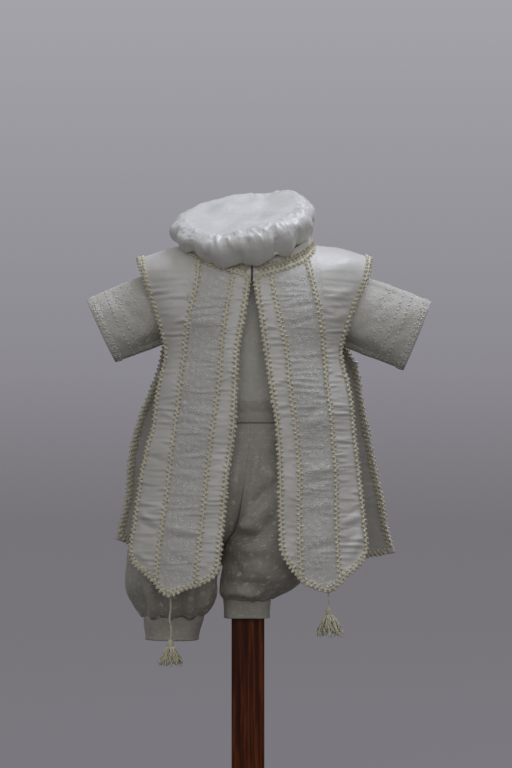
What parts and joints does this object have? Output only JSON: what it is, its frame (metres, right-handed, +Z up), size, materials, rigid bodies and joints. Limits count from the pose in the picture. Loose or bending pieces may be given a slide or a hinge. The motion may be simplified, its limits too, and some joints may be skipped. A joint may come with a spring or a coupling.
{
  "type": "christening gown set on a dress form",
  "caption": "Baby's ivory christening outfit: braided open cape, short-sleeved shirt, gathered breeches and a puffed beret on a limbless dress form with a wooden post.",
  "frame": {"origin": "bottom centre of the round wooden base, on the post's axis", "axes": "+Z up the post, -Y out of the outfit's front, +X to the right as seen from the front"},
  "size_m": [0.3786, 0.22, 0.6936],
  "materials": {
    "satin": "ivory satin, softly shining, puckered",
    "brocade": "ivory brocade with embroidered sprigs",
    "braid": "cream and pale gold looped gimp braid",
    "pearl": "pearl",
    "wood": "dark reddish-brown stain, satin varnish",
    "linen_form": "plain linen cover, matt"
  },
  "bodies": {
    "root": {"stand_base": "wood", "stand_post": "wood", "dress_form": "linen_form", "shirt_front": "brocade", "shirt_back": "brocade", "sleeve_left": "brocade", "sleeve_right": "brocade", "breeches_leg_left": "brocade", "breeches_leg_right": "brocade", "breeches_waistband": "brocade", "breeches_cuff_left": "brocade", "breeches_cuff_right": "brocade", "cape_front_left": "satin", "cape_front_right": "satin", "cape_back": "satin", "cape_collar": "satin", "braid_edge_left": "braid", "braid_edge_right": "braid", "braid_inner_left": "braid", "braid_inner_right": "braid", "braid_outer_left": "braid", "braid_outer_right": "braid", "braid_edge_back": "braid", "braid_neck_back": "braid", "beret_crown": "satin", "beret_puff": "satin", "beret_band": "satin", "tassel_left": "braid", "tassel_right": "braid", "tassel_cord_left": "braid", "tassel_cord_right": "braid", "pearl_bead": "pearl"}
  },
  "joints": []
}
